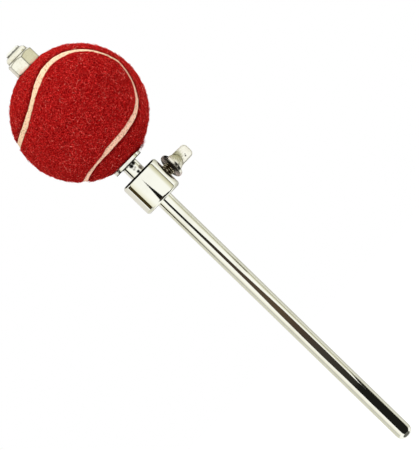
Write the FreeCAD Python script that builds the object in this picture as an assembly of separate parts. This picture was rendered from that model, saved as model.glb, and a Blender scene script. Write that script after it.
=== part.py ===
import FreeCAD, Part
import math
import os

from FreeCAD import Vector

# Bass drum beater: a felt-covered ball on a plated rod, with a sliding weight.
# Millimetres. +Z runs up the rod to the ball, the origin is the centre of the
# rod's free end, and the thumb screw of the weight points along +X.

# Rod
shaft_d = 8.0
shaft_end_flat = 0.5        # radius of the flat left on the rounded free end
seat_z = 178.2              # height of the shoulder that carries the seat washer
thread_step = 0.25          # how far the threaded length is below the plain rod, per side
thread_end_chamfer = 0.9
rod_proud = 1.5             # rod end above the lock nut
setting_ring_w = 1.0        # shallow ring on the rod that marks the weight's usual place
setting_ring_depth = 0.2
setting_ring_cover = 0.1    # how far inside the weight the ring starts

# Seat washer under the ball
washer_d = 15.6
washer_t = 2.0
washer_edge_round = 0.3
washer_sink = 1.0           # how far the ball is pressed flat on the washer

# Ball: hollow rubber core in two halves, felt panels and the seam between them
ball_d = 63.8
ball_off = 1.2              # middle of the ball to the side of the rod's axis, along +X
felt_t = 3.2
core_wall = 3.4
seam_w = 2.6
seam_recess = 0.7           # seam surface below the felt surface
seam_waist = 0.254          # share of the third harmonic in the seam curve
seam_sway = 1.6             # how far the seam swings to each side of that curve
seam_swings = 6             # swings in one round of the seam
seam_yaw = 61.9
seam_pitch = 45.7
seam_roll = 66.8
seam_points = 96            # points that carry the seam's closed curves

# Lock nut
nut_af = 13.0
nut_turn = 21.0             # angle of one corner of the hexagon from +X
nut_hex_h = 7.2
nut_sink = 1.0              # how far the ball is pressed flat under the nut
nut_base_drop = 0.5         # height of the chamfer at the foot of the hexagon
nut_crown_drop = 1.2        # height of the chamfer under the crimped rim
crimp_h = 2.8
crimp_wall = 0.9
crimp_base_inset = 0.7      # crimped rim inside the flats
crimp_round_share = 0.8     # rounding of the crimped rim, as a share of its height
crimp_mouth_gap = 0.2       # rod end in the crimped rim, per side
insert_h = 2.4

# Sliding weight
weight_d = 20.4
weight_length = 16.8
weight_below_seat = 5.9     # rest gap between the weight and the seat washer
weight_edge_round = 1.5
weight_mouth_chamfer = 0.4

# Thumb screw
stud_d = 5.7
stud_tip_d = 4.0
stud_tip_h = 0.8
stud_root_d = 3.6
stud_root_h = 3.2           # root cast into the head
stud_free = 2.6             # thread showing between the weight and the head
shoulder_d = 12.2
shoulder_t = 2.1
shoulder_round_share = 0.4  # rounding of the shoulder's rim, as a share of its thickness
boss_d = 8.4
boss_h = 4.8                # dome over the shoulder, which the tab grows out of
tab_w = 7.1
tab_top_w = 6.7
tab_t = 2.6
tab_h = 10.7                # tab above the shoulder
tab_corner = 2.2
tab_edge_round = 0.5

# Clearances
slide_clear = 0.06          # weight on the rod, per side
screw_clear = 0.06          # stud in the weight, per side
thread_clear = 0.05         # nut, insert and washer on the threaded rod, per side
bore_clear = 0.15           # ball on the threaded rod, per side
glue_gap = 0.04             # bonded faces of the ball
insert_clear = 0.04         # nylon ring in the nut
tip_gap = 0.02              # stud tip to rod when the screw is tight
root_clear = 0.03           # stud root in the head

# Radii and heights worked out from the sizes above
shaft_r = shaft_d / 2
thread_r = shaft_r - thread_step
bore_r = thread_r + bore_clear
washer_top = seat_z + washer_t
ball_r = ball_d / 2
ball_z = washer_top - washer_sink + ball_r
core_r = ball_r - felt_t
core_in_r = core_r - core_wall
felt_in_r = core_r + glue_gap
nut_z = ball_z + ball_r - nut_sink
nut_hex_top = nut_z + nut_hex_h
nut_top = nut_hex_top + crimp_h
rod_top = nut_top + rod_proud
weight_top = seat_z - weight_below_seat
weight_z = weight_top - weight_length
screw_z = weight_z + weight_length / 2
stud_x = shaft_r + tip_gap
shoulder_x = weight_d / 2 + stud_free
head_x = shoulder_x + shoulder_t

UP = Vector(0, 0, 1)
BALL = Vector(ball_off, 0, ball_z)


def revolve(profile):
    """Solid of revolution about Z from (radius, height) points."""
    points = [Vector(r, 0, z) for r, z in profile]
    face = Part.Face(Part.makePolygon(points + points[:1]))
    return face.revolve(Vector(0, 0, 0), UP, 360)


def rod_between(radius, low, high):
    """Plain cylinder about Z between two heights."""
    return Part.makeCylinder(radius, high - low, Vector(0, 0, low), UP)


def edges_at(shape, height, radius=None):
    """Circular edges of a shape at one height, of one radius when it is given."""
    found = []
    for edge in shape.Edges:
        if not isinstance(edge.Curve, Part.Circle):
            continue
        if abs(edge.Curve.Center.z - height) > 1e-6:
            continue
        if radius is None or abs(edge.Curve.Radius - radius) < 1e-6:
            found.append(edge)
    return found


def laid_on_screw(shape):
    """Turn a shape made about +Z onto the screw's axis, +X at the weight's middle."""
    turned = shape.copy()
    turned.rotate(Vector(0, 0, 0), Vector(0, 1, 0), 90)
    turned.translate(Vector(0, 0, screw_z))
    return turned


def make_shaft():
    """Plain rod with a rounded free end, a setting ring, a shoulder and the threaded length."""
    body = rod_between(shaft_r, 0, seat_z)
    body = body.makeFillet(shaft_r - shaft_end_flat, edges_at(body, 0))
    ring_z = weight_z + setting_ring_cover
    ring = rod_between(shaft_r * 2, ring_z, ring_z + setting_ring_w)
    ring = ring.cut(rod_between(shaft_r - setting_ring_depth, ring_z, ring_z + setting_ring_w))
    thread = rod_between(thread_r, seat_z, rod_top)
    thread = thread.makeChamfer(thread_end_chamfer, edges_at(thread, rod_top))
    return body.cut(ring).fuse(thread)


def make_washer():
    """Flat disc on the rod's shoulder, its outer edges broken."""
    disc = rod_between(washer_d / 2, seat_z, washer_top)
    rims = edges_at(disc, seat_z) + edges_at(disc, washer_top)
    disc = disc.makeFillet(washer_edge_round, rims)
    return disc.cut(rod_between(thread_r + thread_clear, seat_z, washer_top))


def make_core_halves():
    """Two rubber half shells that meet in the ball's middle plane, bored for the rod."""
    ball = Part.makeSphere(core_r, BALL).cut(Part.makeSphere(core_in_r, BALL))
    ball = ball.cut(rod_between(bore_r, ball_z - ball_r, ball_z + ball_r))
    lower = ball.common(rod_between(ball_d, ball_z - ball_r, ball_z))
    upper = ball.common(rod_between(ball_d, ball_z, ball_z + ball_r))
    return lower, upper


def seam_frame(angle):
    """Unit vectors at one point of the seam: outward, and across the seam."""
    one, three = 1 - seam_waist, seam_waist
    rise = 2 * math.sqrt(one * three)
    out = Vector(
        one * math.cos(angle) + three * math.cos(3 * angle),
        one * math.sin(angle) - three * math.sin(3 * angle),
        rise * math.sin(2 * angle),
    )
    along = Vector(
        -one * math.sin(angle) - 3 * three * math.sin(3 * angle),
        one * math.cos(angle) - 3 * three * math.cos(3 * angle),
        2 * rise * math.cos(2 * angle),
    )
    across = out.cross(along).normalize()
    turn = FreeCAD.Rotation(seam_yaw, seam_pitch, seam_roll)
    return turn.multVec(out), turn.multVec(across)


def seam_edge(radius, offset):
    """Closed curve beside the seam's middle line, on a sphere about the ball's centre."""
    points = []
    for step in range(seam_points):
        angle = 2 * math.pi * step / seam_points
        out, across = seam_frame(angle)
        tilt = (offset + seam_sway * math.sin(seam_swings * angle)) / ball_r
        points.append(BALL + (out * math.cos(tilt) + across * math.sin(tilt)) * radius)
    curve = Part.BSplineCurve()
    curve.interpolate(Points=points, PeriodicFlag=True)
    return curve.toShape()


def seam_band(half_width):
    """Closed band that follows the seam and cuts right through the felt."""
    low, high = core_in_r, ball_r + felt_t
    corners = [
        seam_edge(low, -half_width),
        seam_edge(high, -half_width),
        seam_edge(high, half_width),
        seam_edge(low, half_width),
    ]
    walls = [Part.makeRuledSurface(corners[i - 1], corners[i]) for i in range(len(corners))]
    shell = Part.makeShell(walls)
    shell.sewShape()
    band = Part.makeSolid(shell)
    if band.Volume < 0:
        band.reverse()
    return band


def pressed(shape):
    """Take from the ball what the washer and the nut press flat, and the hole for the rod."""
    reach = ball_r * 2
    shape = shape.cut(rod_between(reach, ball_z - reach, washer_top))
    shape = shape.cut(rod_between(reach, nut_z, ball_z + reach))
    return shape.cut(rod_between(bore_r, ball_z - reach, ball_z + reach))


def make_felt_and_seam():
    """Two felt panels parted by the seam, and the strip of cement that lies in it."""
    skin = Part.makeSphere(ball_r, BALL).cut(Part.makeSphere(felt_in_r, BALL))
    panels = pressed(skin.cut(seam_band(seam_w / 2))).Solids
    panels.sort(key=lambda panel: panel.CenterOfMass.x)
    cement = Part.makeSphere(ball_r - seam_recess, BALL).cut(Part.makeSphere(felt_in_r, BALL))
    strip = pressed(cement.common(seam_band(seam_w / 2 - glue_gap)))
    return panels[0], panels[1], strip.Solids[0]


def make_nut():
    """Self-locking nut: chamfered hexagon with a crimped rim over the nylon ring."""
    corner_r = nut_af / math.sqrt(3)
    corners = []
    for side in range(7):
        angle = math.radians(60 * side + nut_turn)
        corners.append(Vector(corner_r * math.cos(angle), corner_r * math.sin(angle), nut_z))
    hexagon = Part.Face(Part.makePolygon(corners)).extrude(UP * nut_hex_h)
    rim_r = nut_af / 2 - crimp_base_inset
    envelope = revolve([
        (0, nut_z),
        (nut_af / 2, nut_z),
        (corner_r, nut_z + nut_base_drop),
        (corner_r, nut_hex_top - nut_crown_drop),
        (rim_r, nut_hex_top),
        (0, nut_hex_top),
    ])
    hexagon = hexagon.common(envelope)
    rim = rod_between(rim_r, nut_hex_top, nut_top)
    rim = rim.makeFillet(crimp_h * crimp_round_share, edges_at(rim, nut_top))
    nut = hexagon.fuse(rim)
    insert_top = nut_top - crimp_wall
    nut = nut.cut(rod_between(rim_r - crimp_wall, insert_top - insert_h, insert_top))
    nut = nut.cut(rod_between(thread_r + thread_clear, nut_z, insert_top))
    return nut.cut(rod_between(thread_r + crimp_mouth_gap, insert_top, nut_top))


def make_nut_insert():
    """Nylon ring caught under the nut's crimped rim."""
    ring_r = nut_af / 2 - crimp_base_inset - crimp_wall - insert_clear
    top = nut_top - crimp_wall - insert_clear
    low = nut_top - crimp_wall - insert_h + insert_clear
    return rod_between(ring_r, low, top).cut(rod_between(thread_r + thread_clear, low, top))


def make_weight():
    """Round weight bored to slide on the rod, with a cross hole for the stud."""
    weight = rod_between(weight_d / 2, weight_z, weight_top)
    weight = weight.makeFillet(weight_edge_round, edges_at(weight, weight_z) + edges_at(weight, weight_top))
    hole_r = shaft_r + slide_clear
    weight = weight.cut(rod_between(hole_r, weight_z, weight_top))
    mouths = edges_at(weight, weight_z, hole_r) + edges_at(weight, weight_top, hole_r)
    weight = weight.makeChamfer(weight_mouth_chamfer, mouths)
    cross_hole = rod_between(stud_d / 2 + screw_clear, 0, weight_d)
    return weight.cut(laid_on_screw(cross_hole))


def make_stud():
    """Stud of the thumb screw: a coned tip, the threaded length and the root in the head."""
    stud = revolve([
        (0, stud_x),
        (stud_tip_d / 2, stud_x),
        (stud_d / 2, stud_x + stud_tip_h),
        (stud_d / 2, shoulder_x),
        (stud_root_d / 2, shoulder_x),
        (stud_root_d / 2, shoulder_x + stud_root_h),
        (0, shoulder_x + stud_root_h),
    ])
    return laid_on_screw(stud)


def make_screw_head():
    """Thumb head: round shoulder, domed boss and a flat tab with rounded corners."""
    shoulder = rod_between(shoulder_d / 2, shoulder_x, head_x)
    rims = edges_at(shoulder, shoulder_x) + edges_at(shoulder, head_x)
    shoulder = shoulder.makeFillet(shoulder_t * shoulder_round_share, rims)
    foot, rim, crown = Vector(0, 0, head_x), Vector(boss_d / 2, 0, head_x), Vector(0, 0, head_x + boss_h)
    dome = Part.ArcOfEllipse(Part.Ellipse(crown, rim, foot), 0, math.pi / 2).toShape()
    section = Part.Wire([dome, Part.makeLine(rim, foot), Part.makeLine(foot, crown)])
    boss = Part.Face(section).revolve(Vector(0, 0, 0), UP, 360)
    tab_top = head_x + tab_h
    outline = [
        Vector(-tab_w / 2, -tab_t / 2, head_x),
        Vector(tab_w / 2, -tab_t / 2, head_x),
        Vector(tab_top_w / 2, -tab_t / 2, tab_top),
        Vector(-tab_top_w / 2, -tab_t / 2, tab_top),
    ]
    tab = Part.Face(Part.makePolygon(outline + outline[:1])).extrude(Vector(0, tab_t, 0))
    corners = []
    rims = []
    for edge in tab.Edges:
        if edge.BoundBox.ZMin > tab_top - 1e-6 and edge.BoundBox.YLength > tab_t / 2:
            corners.append(edge)
    tab = tab.makeFillet(tab_corner, corners)
    for edge in tab.Edges:
        if edge.BoundBox.YLength < 1e-6 and edge.BoundBox.ZMax > head_x + 1e-6:
            rims.append(edge)
    tab = tab.makeFillet(tab_edge_round, rims)
    head = shoulder.fuse(boss).fuse(tab)
    root = rod_between(stud_root_d / 2 + root_clear, shoulder_x, shoulder_x + stud_root_h + root_clear)
    return laid_on_screw(head.cut(root).removeSplitter())


def main():
    """Build every piece and write each one to its own file."""
    os.makedirs("parts", exist_ok=True)
    core_lower, core_upper = make_core_halves()
    felt_a, felt_b, seam = make_felt_and_seam()
    pieces = {
        "shaft": make_shaft(),
        "seat_washer": make_washer(),
        "core_half_lower": core_lower,
        "core_half_upper": core_upper,
        "felt_panel_a": felt_a,
        "felt_panel_b": felt_b,
        "seam_strip": seam,
        "lock_nut": make_nut(),
        "lock_nut_insert": make_nut_insert(),
        "weight_collar": make_weight(),
        "clamp_screw_stud": make_stud(),
        "clamp_screw_head": make_screw_head(),
    }
    for name, shape in pieces.items():
        shape.exportStep("parts/" + name + ".step")


main()
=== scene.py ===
"""Bass drum beater: a felt-covered ball on a plated rod with a sliding balance weight.

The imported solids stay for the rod, the washer, the nut with its ring, the weight, the screw's
head and the ball's core. The felt panels, the seam's cement and the screw's stud are modelled
here in place of theirs. The loose fibres and the thread on the rod's end are added.
"""
import logging
import math
import random
from dataclasses import dataclass
from enum import Enum

import bmesh
import bpy
from mathutils import Matrix, Vector, kdtree, noise


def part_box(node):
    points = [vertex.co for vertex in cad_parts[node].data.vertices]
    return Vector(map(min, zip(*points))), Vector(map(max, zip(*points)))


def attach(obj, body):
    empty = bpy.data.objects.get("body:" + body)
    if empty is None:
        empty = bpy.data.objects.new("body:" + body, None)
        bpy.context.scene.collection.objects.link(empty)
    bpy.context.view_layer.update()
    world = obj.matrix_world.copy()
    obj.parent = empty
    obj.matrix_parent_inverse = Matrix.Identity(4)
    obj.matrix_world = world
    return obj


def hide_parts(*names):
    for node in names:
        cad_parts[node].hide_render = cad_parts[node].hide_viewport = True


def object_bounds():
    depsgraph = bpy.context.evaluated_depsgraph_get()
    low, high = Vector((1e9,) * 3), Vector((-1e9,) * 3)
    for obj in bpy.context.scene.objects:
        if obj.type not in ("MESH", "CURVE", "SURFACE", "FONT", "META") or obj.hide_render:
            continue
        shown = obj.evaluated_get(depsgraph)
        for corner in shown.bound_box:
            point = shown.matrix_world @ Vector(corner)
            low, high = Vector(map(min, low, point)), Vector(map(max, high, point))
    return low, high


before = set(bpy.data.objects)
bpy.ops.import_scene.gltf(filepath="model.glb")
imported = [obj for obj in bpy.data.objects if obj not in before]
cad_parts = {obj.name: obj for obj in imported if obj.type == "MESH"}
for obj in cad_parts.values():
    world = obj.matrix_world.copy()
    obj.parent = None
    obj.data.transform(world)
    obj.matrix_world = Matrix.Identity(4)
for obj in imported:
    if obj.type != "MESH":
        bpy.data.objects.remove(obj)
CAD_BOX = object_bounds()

LOG = logging.getLogger("beater")
MM = 0.001
# How far the rod is turned down, on its radius, where it is threaded.
THREAD_STEP = 0.25 * MM
# Distances below which points count as one, and faces as slivers.
SAME_POINT, SLIVER = 1e-7, 1e-8
WHITE = (1.0, 1.0, 1.0)
Triple = tuple[float, float, float]
Colour = Triple
Span = tuple[float, float]
Ring = list[Vector]
Faces = list[tuple[int, ...]]
Tones = tuple[tuple[float, Colour, float], ...]
Sections = tuple[tuple[float, float, float, float], ...]


class Body(Enum):
    """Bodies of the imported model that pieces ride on."""

    BEATER = "beater"
    STUD = "stud"


class Slot(Enum):
    """Names of the record's material slots."""

    ROD = "plated_rod"
    FELT = "red_felt"
    SEAM = "seam_rubber"
    STUD = "bronzed_steel"


class Axis(Enum):
    """Axes of the row frame."""

    X = "X"
    Y = "Y"
    Z = "Z"


class Panel(Enum):
    """The two felt panels, by the side of the seam's third axis that each one lies on."""

    A = -1
    B = 1


def screen(red: float, green: float, blue: float) -> Colour:
    """Turn a colour as a screen shows it, 0 to 255, into the linear values of a shader.

    Args:
        red: Red level.
        green: Green level.
        blue: Blue level.

    Returns:
        The linear colour.
    """
    levels = [level / 255 for level in (red, green, blue)]
    linear = [((v + 0.055) / 1.055) ** 2.4 if v > 0.04045 else v / 12.92 for v in levels]
    return linear[0], linear[1], linear[2]


class Shade:
    """A number in a shader, whose arithmetic adds Math nodes to its graph."""

    def __init__(self, graph: "NodeGraph", socket: bpy.types.NodeSocket) -> None:
        """Keep the graph and the socket that gives the number."""
        self.graph = graph
        self.socket = socket

    def _math(self, operation: str, first: "Shade | float", second: "Shade | float") -> "Shade":
        """Add one Math node on two numbers."""
        node = self.graph.node("ShaderNodeMath", {"operation": operation}, {0: first, 1: second})
        return Shade(self.graph, node.outputs[0])

    def __add__(self, other: "Shade | float") -> "Shade":
        """Sum."""
        return self._math("ADD", self, other)

    __radd__ = __add__

    def __sub__(self, other: "Shade | float") -> "Shade":
        """Difference."""
        return self._math("SUBTRACT", self, other)

    def __rsub__(self, other: float) -> "Shade":
        """Difference from a plain number."""
        return self._math("SUBTRACT", other, self)

    def __mul__(self, other: "Shade | float") -> "Shade":
        """Product."""
        return self._math("MULTIPLY", self, other)

    __rmul__ = __mul__

    def __abs__(self) -> "Shade":
        """Size without sign."""
        return self._math("ABSOLUTE", self, 0.0)

    def step(self, low: float, high: float) -> "Shade":
        """Rise smoothly from 0 at low to 1 at high.

        Args:
            low: Value that gives 0.
            high: Value that gives 1.

        Returns:
            The smooth step of this number.
        """
        node = self.graph.node(
            "ShaderNodeMapRange",
            {"interpolation_type": "SMOOTHSTEP"},
            {"Value": self, "From Min": low, "From Max": high},
        )
        return Shade(self.graph, node.outputs[0])


class NodeGraph:
    """Nodes of one material, or of the world, with one way of adding each."""

    def __init__(self, tree: bpy.types.NodeTree) -> None:
        """Start from an empty tree."""
        self.tree = tree
        tree.nodes.clear()

    def node(
        self, kind: str, settings: dict | None = None, inputs: dict | None = None
    ) -> bpy.types.Node:
        """Add a node.

        Args:
            kind: Blender's type name of the node.
            settings: Attributes that are set first.
            inputs: Values or links of its sockets, by name or number.

        Returns:
            The node.
        """
        made = self.tree.nodes.new(kind)
        for name, value in (settings or {}).items():
            setattr(made, name, value)
        for name, value in (inputs or {}).items():
            if isinstance(value, Shade):
                self.tree.links.new(value.socket, made.inputs[name])
            elif isinstance(value, bpy.types.NodeSocket):
                self.tree.links.new(value, made.inputs[name])
            elif isinstance(value, tuple) and made.inputs[name].type == "RGBA":
                made.inputs[name].default_value = (*value, 1.0)
            else:
                made.inputs[name].default_value = value
        return made

    def place(self) -> bpy.types.NodeSocket:
        """Coordinates of the piece in the row frame, in metres."""
        return self.node("ShaderNodeTexCoord").outputs["Object"]

    def along(self, axis: Axis) -> Shade:
        """Distance from the rod's free end along an axis of the row frame."""
        apart = self.node("ShaderNodeSeparateXYZ", None, {0: self.place()})
        return Shade(self, apart.outputs[axis.value])

    def edges(self, width: float, samples: int = 8) -> Shade:
        """Strips along the sharp edges of a piece.

        Args:
            width: Width of a strip on each side of its edge, in metres.
            samples: Rays that look for the edge.

        Returns:
            1 on an edge and 0 away from it.
        """
        on_edge, off_edge = 0.93, 0.998
        rounded = self.node("ShaderNodeBevel", {"samples": samples}, {"Radius": width}).outputs[0]
        flat = self.node("ShaderNodeNewGeometry").outputs["Normal"]
        turned = self.node(
            "ShaderNodeVectorMath", {"operation": "DOT_PRODUCT"}, {0: rounded, 1: flat}
        )
        return 1 - Shade(self, turned.outputs["Value"]).step(on_edge, off_edge)

    def noise(
        self, size: float, detail: float = 2.0, rough: float = 0.5, twist: float = 0.0
    ) -> Shade:
        """Soft noise.

        Args:
            size: Size of its patches in metres.
            detail: Number of finer layers.
            rough: Weight of the finer layers.
            twist: How far it is pulled into curls.

        Returns:
            A number from 0 to 1.
        """
        inputs = {
            "Vector": self.place(),
            "Scale": 1 / size,
            "Detail": detail,
            "Roughness": rough,
            "Distortion": twist,
        }
        return Shade(self, self.node("ShaderNodeTexNoise", None, inputs).outputs[0])

    def specks(self, size: float, spread: float) -> Shade:
        """Round specks, one to a cell.

        Args:
            size: Size of a cell in metres.
            spread: Radius of a speck as a share of its cell.

        Returns:
            1 inside a speck and 0 outside.
        """
        full_share = 0.6
        cells = self.node("ShaderNodeTexVoronoi", None, {"Vector": self.place(), "Scale": 1 / size})
        return 1 - Shade(self, cells.outputs["Distance"]).step(spread * full_share, spread)

    def far_from(self, centre: Vector) -> Shade:
        """Distance from a point of the row frame, in metres."""
        apart = self.node(
            "ShaderNodeVectorMath", {"operation": "DISTANCE"}, {0: self.place(), 1: tuple(centre)}
        )
        return Shade(self, apart.outputs["Value"])

    def mix(
        self,
        share: Shade | float,
        first: bpy.types.NodeSocket | Colour,
        second: bpy.types.NodeSocket | Colour,
    ) -> bpy.types.NodeSocket:
        """Blend two colours.

        Args:
            share: Weight of the second colour.
            first: Colour at share 0.
            second: Colour at share 1.

        Returns:
            The socket of the blend.
        """
        # A Mix node's colours are its inputs 6 and 7, and their blend is its output 2.
        made = self.node("ShaderNodeMix", {"data_type": "RGBA"}, {0: share, 6: first, 7: second})
        return made.outputs[2]

    def bump(self, height: Shade, depth: float, strength: float) -> bpy.types.NodeSocket:
        """Surface normal of a fine relief.

        Args:
            height: Relief from 0 to 1.
            depth: Height of the relief in metres.
            strength: Weight of the relief.

        Returns:
            The normal's socket.
        """
        made = self.node(
            "ShaderNodeBump", None, {"Height": height, "Distance": depth, "Strength": strength}
        )
        return made.outputs[0]

    def principled(self, inputs: dict) -> bpy.types.Node:
        """Add the main surface shader."""
        return self.node("ShaderNodeBsdfPrincipled", None, inputs)


@dataclass(frozen=True)
class Finish:
    """A surface finish, which turns into a material of its own."""

    name: str

    def shade(self, graph: NodeGraph) -> bpy.types.Node:
        """Add the finish's nodes.

        Args:
            graph: Nodes of the material.

        Returns:
            The shader that the surface takes.
        """
        raise NotImplementedError

    def material(self) -> bpy.types.Material:
        """Make the material of this finish.

        Returns:
            The material.
        """
        made = bpy.data.materials.new(self.name)
        made.use_nodes = True
        graph = NodeGraph(made.node_tree)
        shader = self.shade(graph)
        graph.node("ShaderNodeOutputMaterial", None, {"Surface": shader.outputs[0]})
        return made


@dataclass(frozen=True)
class Specks:
    """Round specks that come in patches.

    The cell and the patch are sizes in metres, the spread is a speck's share of its cell,
    and the patch range gives the levels of noise between which a patch fades in.
    """

    cell: float
    spread: float
    patch: float
    patch_range: Span

    def mask(self, graph: NodeGraph) -> Shade:
        """1 inside a speck and 0 outside."""
        patch = graph.noise(self.patch).step(*self.patch_range)
        return graph.specks(self.cell, self.spread) * patch


@dataclass(frozen=True)
class StainAndShade:
    """A patch with a ragged rim on a plated surface, which dulls it: a few real specks, and
    otherwise painted reflections and painted shade.
    """

    centre: Triple
    reach: float
    strength: float
    colour: Colour
    grain: float = 0.5 * MM
    ragged: float = 0.8
    fade: Span = (0.8, 1.5)

    def mask(self, graph: NodeGraph) -> Shade:
        """How much the mark covers, from 0 to its strength.

        Args:
            graph: Nodes of the material.

        Returns:
            The cover.
        """
        away = graph.far_from(Vector(self.centre))
        away = away + graph.noise(self.grain) * (self.reach * self.ragged)
        full, bare = (self.reach * share for share in self.fade)
        return (1 - away.step(full, bare)) * self.strength


@dataclass(frozen=True)
class ShadeAndReflectionBand:
    """A band painted all round one axis at one place along it: painted shade in crevices and under
    parts, and on the nut's base a painted reflection of the red felt.
    """

    place: float
    half: float
    strength: float
    colour: Colour = screen(58, 56, 46)
    axis: Axis = Axis.Z
    grain: float = 1.2 * MM
    fade: Span = (0.7, 1.4)

    def mask(self, graph: NodeGraph) -> Shade:
        """How much the line covers, from 0 to its strength.

        Args:
            graph: Nodes of the material.

        Returns:
            The cover.
        """
        away = abs(graph.along(self.axis) - self.place) + graph.noise(self.grain) * self.half
        full, bare = (self.half * share for share in self.fade)
        return (1 - away.step(full, bare)) * self.strength


@dataclass(frozen=True)
class PlatedFinish(Finish):
    """Bright plate with a faint haze from handling, and dull stains, painted reflections and
    painted shade where it has them.
    """

    colour: Colour = screen(250, 250, 238)
    haze_colour: Colour = screen(226, 224, 206)
    haze_size: float = 9 * MM
    haze_range: Span = (0.42, 0.72)
    haze_share: float = 0.35
    rough: float = 0.035
    rough_haze: float = 0.05
    rough_dull: float = 0.35
    pits: Specks = Specks(1.6 * MM, spread=0.16, patch=5 * MM, patch_range=(0.5, 0.62))
    pit_colour: Colour = screen(120, 112, 92)
    pit_share: float = 0.0
    stains_and_shade: tuple[StainAndShade, ...] = ()
    shade_bands: tuple[ShadeAndReflectionBand, ...] = ()
    edge_shade_width: float = 0.0
    edge_shade_share: float = 0.9
    edge_shade_colour: Colour = screen(92, 88, 70)

    def shade(self, graph: NodeGraph) -> bpy.types.Node:
        """Mix plate, haze, painted shade bands, stains and painted reflections, painted dark edges
        and pits.

        Args:
            graph: Nodes of the material.

        Returns:
            The shader that the surface takes.
        """
        haze = graph.noise(self.haze_size, detail=4.0, rough=0.6).step(*self.haze_range)
        colour = graph.mix(haze * self.haze_share, self.colour, self.haze_colour)
        rough = self.rough + haze * self.rough_haze
        dull: Shade | float = 0.0
        # The bands and patches paint shade and reflections into the colour; two patches on the head
        # are real specks.
        for mark in (*self.shade_bands, *self.stains_and_shade):
            mask = mark.mask(graph)
            colour = graph.mix(mask, colour, mark.colour)
            dull = mask + dull
        # Painted shade: dark lines along sharp edges, standing in for the shade and dark
        # reflections there.
        if self.edge_shade_width:
            edge_shade = graph.edges(self.edge_shade_width) * self.edge_shade_share
            colour = graph.mix(edge_shade, colour, self.edge_shade_colour)
        if self.pit_share:
            pits = self.pits.mask(graph) * self.pit_share
            colour = graph.mix(pits, colour, self.pit_colour)
            dull = pits + dull
        rough = rough + dull * self.rough_dull
        return graph.principled({"Base Color": colour, "Metallic": 1.0, "Roughness": rough})


@dataclass(frozen=True)
class ThreadFinish(Finish):
    """Dark bronzed steel with bright crests: partly rubbed metal, partly a painted highlight."""

    axis_height: float
    root_r: float
    crest_r: float
    colour: Colour = screen(64, 46, 22)
    dark_share: float = 0.4
    worn_highlight_colour: Colour = screen(255, 244, 214)
    worn_highlight_range: Span = (0.38, 0.56)
    patch_size: float = 2.2 * MM
    rough: float = 0.38
    worn_polish: float = 0.2

    def shade(self, graph: NodeGraph) -> bpy.types.Node:
        """Brighten the bronze towards the crests, in patches, as rubbed metal and painted
        highlight.

        Args:
            graph: Nodes of the material.

        Returns:
            The shader that the surface takes.
        """
        side = graph.along(Axis.Y)
        rise = graph.along(Axis.Z) - self.axis_height
        crest = (side * side + rise * rise).step(self.root_r**2, self.crest_r**2)
        patch = graph.noise(self.patch_size, detail=1.0)
        # Painted highlight on the crests, partly rubbed bright metal.
        worn_highlight = crest * patch.step(*self.worn_highlight_range)
        darker = tuple(level * self.dark_share for level in self.colour)
        colour = graph.mix(patch, self.colour, darker)
        colour = graph.mix(worn_highlight, colour, self.worn_highlight_colour)
        rough = self.rough - worn_highlight * self.worn_polish
        return graph.principled({"Base Color": colour, "Metallic": 0.9, "Roughness": rough})


@dataclass(frozen=True)
class Strands:
    """Curled strands of wool, which follow the middle level of a twisted noise.

    The size is in metres, the core and the width are levels of the noise, the share is how
    far the strands lighten the wool, and the relief is how far they stand out of it.
    """

    size: float
    twist: float
    width: float
    share: float
    relief: float
    core: float = 0.01

    def mask(self, graph: NodeGraph) -> Shade:
        """1 on a strand and 0 beside it."""
        level = graph.noise(self.size, detail=0.0, twist=self.twist)
        return 1 - abs(level - 0.5).step(self.core, self.width)


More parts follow.
